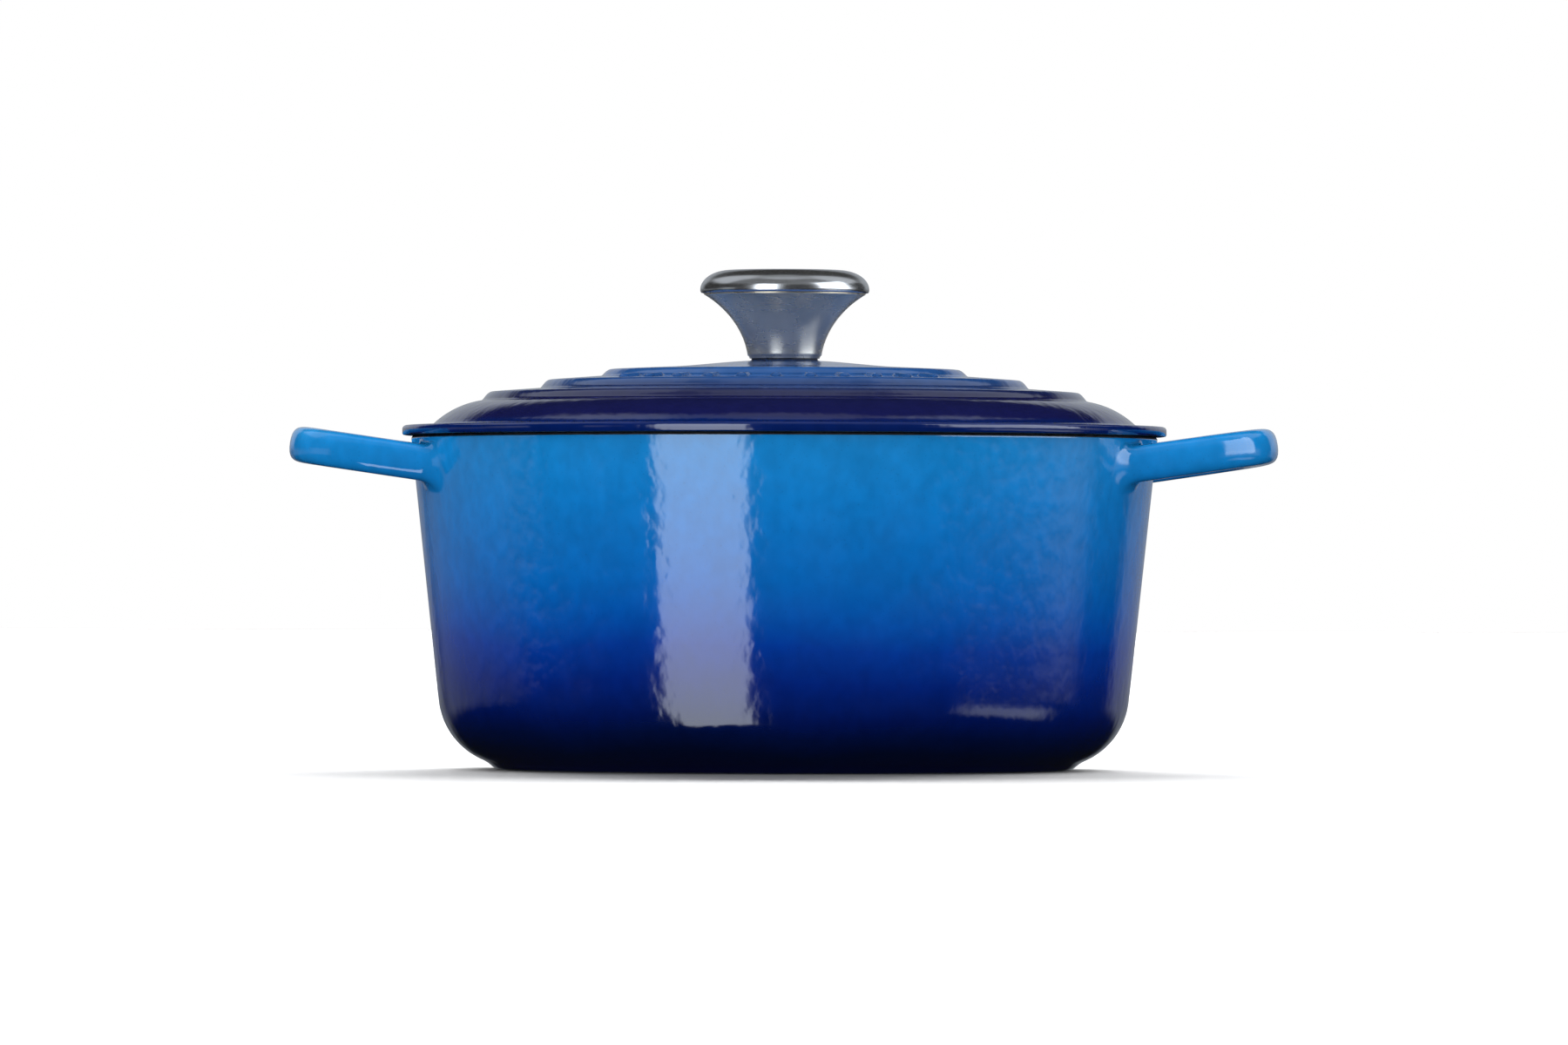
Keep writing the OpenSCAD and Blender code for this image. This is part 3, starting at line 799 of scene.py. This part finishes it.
def floor_material():
    """A grey that the floor's own strong light lifts to white."""
    m = Nodes("floor")
    tone = m.ramp(m.noise(3, 3), [(0.3, (0.098, 0.099, 0.1, 1)), (0.7, (0.104, 0.104, 0.104, 1))])
    return m.set(Base_Color=tone, Roughness=0.9)


def card(name, corners, material, unseen_by):
    """A flat staged rectangle that some kinds of ray pass through."""
    mesh = bpy.data.meshes.new(name)
    mesh.from_pydata(corners, [], [(0, 1, 2, 3)])
    mesh.materials.append(material)
    o = bpy.data.objects.new(name, mesh)
    bpy.context.scene.collection.objects.link(o)
    for ray in unseen_by:
        setattr(o, "visible_" + ray, False)
    return o


FLOOR = 12                               # half of its side
floor = card("floor", [(-FLOOR, -FLOOR, 0), (FLOOR, -FLOOR, 0), (FLOOR, FLOOR, 0), (-FLOOR, FLOOR, 0)],
             floor_material(), ("glossy", "diffuse"))


def floor_light(name, elevation, spread, energy):
    """A broad light from behind that only the floor takes, so that the shadow falls softly to the front."""
    data = bpy.data.lights.new(name, "SUN")
    data.energy, data.angle = energy, spread
    o = bpy.data.objects.new(name, data)
    bpy.context.scene.collection.objects.link(o)
    o.rotation_euler = (elevation - math.pi / 2, 0, 0)
    only = bpy.data.collections.new(name + "_only")
    only.objects.link(floor)
    o.light_linking.receiver_collection = only
    o.visible_glossy = False


floor_light("floor_light", rad(14), rad(80), 125)


# a black card that keeps the key's reflection off the left handle; only gloss sees it
FLAG_X0, FLAG_X1, FLAG_Y, FLAG_Z0, FLAG_Z1 = -0.36, -0.125, -0.15, 0.04, 0.2
flag_black = Nodes("flag").set(Base_Color=(0, 0, 0, 1), Specular_IOR_Level=0)
card("flag", [(FLAG_X0, FLAG_Y, FLAG_Z0), (FLAG_X1, FLAG_Y, FLAG_Z0), (FLAG_X1, FLAG_Y, FLAG_Z1),
              (FLAG_X0, FLAG_Y, FLAG_Z1)],
     flag_black, ("camera", "diffuse", "transmission", "volume_scatter", "shadow"))

# soft boxes that only gloss sees: azimuths and elevations in degrees (0 is the front, growing to the
# right and up), the softness of their sides and of their ends, and their strength
BOXES = [
    (-38.5, -9, -45, -4, 1.5, 1.5, 3.7),       # key, along the wall
    (-38.5, -9, -4, 34, 1.5, 1.5, 4.2),        # key, above the horizon
    (52, 102, -1, 42, 3, 3, 3.3),              # fill
    (50, 112, -8.2, 6, 9, 2.2, 0.45),            # faint glow on the wall's right
    (66, 104, -24, -13.5, 7, 3.2, 1.1),          # patch on the right of the lower corner
    (-95, -52, -7.2, 6, 8, 2.2, 0.45),             # faint glow on the wall's left
    (-95, 100, 32, 112, 8, 8, 0.18),           # front ceiling
    (-142, -92, 28, 70, 5, 5, 0.65),           # high on the left, behind
    (92, 142, 28, 70, 5, 5, 0.65),             # high on the right, behind
    (-200, 200, 72, 112, 4, 3, 0.35),          # ceiling
    (-190, -145, 1, 24, 4, 4, 0.45),           # low behind, on the left
    (145, 190, 1, 24, 4, 4, 0.45),             # low behind, on the right
    (-152, -95, -9, 1, 6, 3, 0.15),            # below the horizon, on the left
    (-190, -156, -9, 1, 5, 3, 0.17),           # below the horizon, behind on the left
    (142, 190, -9, 1, 6, 3, 0.22),             # below the horizon, behind on the right
]
GLOSS_BASE = 0.004                       # what gloss sees where there is no box
GLOSS_TINT = (0.88, 0.95, 1.04, 1)
SOFT = 1.62                              # even light that matt surfaces see
SOFT_BELOW = 0.3                         # share of it that comes from straight below
SOFT_FULL_FROM, SOFT_LEAST_TO = 20, -60  # elevations where it is full, and where it is least


def world():
    """White behind the object, with soft boxes that only its gloss sees."""
    w = bpy.data.worlds.new("studio")
    bpy.context.scene.world = w
    w.use_nodes = True
    w.cycles.sampling_method = "NONE"
    t = w.node_tree
    t.nodes.clear()

    def new(kind, **settings):
        n = t.nodes.new(kind)
        for k, v in settings.items():
            setattr(n, k, v)
        return n

    def calc(op, *values):
        n = new("ShaderNodeMath", operation=op)
        for i, v in enumerate(values):
            if isinstance(v, bpy.types.NodeSocket):
                t.links.new(v, n.inputs[i])
            else:
                n.inputs[i].default_value = v
        return n.outputs[0]

    def ease(value, a, b):
        n = new("ShaderNodeMapRange", interpolation_type="SMOOTHSTEP")
        t.links.new(value, n.inputs[0])
        n.inputs[1].default_value, n.inputs[2].default_value = min(a, b), max(a, b)
        n.inputs[3].default_value, n.inputs[4].default_value = (0, 1) if a < b else (1, 0)
        return n.outputs[0]

    way = new("ShaderNodeSeparateXYZ")
    t.links.new(new("ShaderNodeTexCoord").outputs["Generated"], way.inputs[0])
    x, y, z = way.outputs
    # azimuth in degrees, 0 towards the front (-Y), growing towards +X
    azimuth = calc("MULTIPLY", calc("ARCTAN2", x, calc("MULTIPLY", y, -1.0)), 180 / math.pi)
    elevation = calc("MULTIPLY", calc("ARCSINE", z), 180 / math.pi)

    def box(az0, az1, el0, el1, side, end):
        parts = [ease(azimuth, az0 - side, az0 + side), ease(azimuth, az1 + side, az1 - side),
                 ease(elevation, el0 - end, el0 + end), ease(elevation, el1 + end, el1 - end)]
        out = parts[0]
        for p in parts[1:]:
            out = calc("MULTIPLY", out, p)
        return out

    light = GLOSS_BASE
    for *shape, strength in BOXES:
        light = calc("ADD", calc("MULTIPLY", box(*shape), strength), light)

    gloss = new("ShaderNodeBackground")
    t.links.new(light, gloss.inputs["Strength"])
    gloss.inputs["Color"].default_value = GLOSS_TINT
    soft = new("ShaderNodeBackground")
    above = calc("MULTIPLY", ease(elevation, SOFT_LEAST_TO, SOFT_FULL_FROM), SOFT * (1 - SOFT_BELOW))
    t.links.new(calc("ADD", above, SOFT * SOFT_BELOW), soft.inputs["Strength"])
    white = new("ShaderNodeBackground")
    white.inputs["Color"].default_value = (1, 1, 1, 1)
    white.inputs["Strength"].default_value = 1.0
    path = new("ShaderNodeLightPath")
    a, b = new("ShaderNodeMixShader"), new("ShaderNodeMixShader")
    t.links.new(path.outputs["Is Glossy Ray"], a.inputs[0])
    t.links.new(soft.outputs[0], a.inputs[1])
    t.links.new(gloss.outputs[0], a.inputs[2])
    t.links.new(path.outputs["Is Camera Ray"], b.inputs[0])
    t.links.new(a.outputs[0], b.inputs[1])
    t.links.new(white.outputs[0], b.inputs[2])
    t.links.new(b.outputs[0], new("ShaderNodeOutputWorld").inputs["Surface"])


world()


LAMP_AIM_H = 0.08                        # the lamps point at this height on the object's axis


def lamp(name, place, size, power):
    """A round white lamp that gloss doesn't see."""
    data = bpy.data.lights.new(name, "AREA")
    data.shape, data.size, data.energy = "DISK", size, power
    o = bpy.data.objects.new(name, data)
    bpy.context.scene.collection.objects.link(o)
    o.location = place
    aim = np.array((0, 0, LAMP_AIM_H)) - np.array(place)
    o.rotation_euler = (math.atan2(math.hypot(aim[0], aim[1]), -aim[2]), 0, math.atan2(-aim[0], aim[1]))
    o.visible_glossy = False


lamp("overhead", (0.1, -0.3, 1.9), 1.6, 8)
lamp("front_left", (-1.1, -1.8, 0.9), 1.0, 4)

AWAY, EYE_H, TURN, ROLL, AIM_H = 4.02, 0.062, rad(2.2), rad(-0.15), 0.083
lens = bpy.data.cameras.new("camera")
lens.lens, lens.sensor_width = 274.8, 36
lens.clip_start, lens.clip_end = 0.1, 60
camera = bpy.data.objects.new("camera", lens)
bpy.context.scene.collection.objects.link(camera)
camera.location = (AWAY * math.sin(TURN), -AWAY * math.cos(TURN), EYE_H)
camera.rotation_euler = (math.pi / 2 + math.atan((AIM_H - EYE_H) / AWAY), ROLL, TURN)
bpy.context.scene.camera = camera
bpy.context.scene.view_settings.view_transform = "Standard"
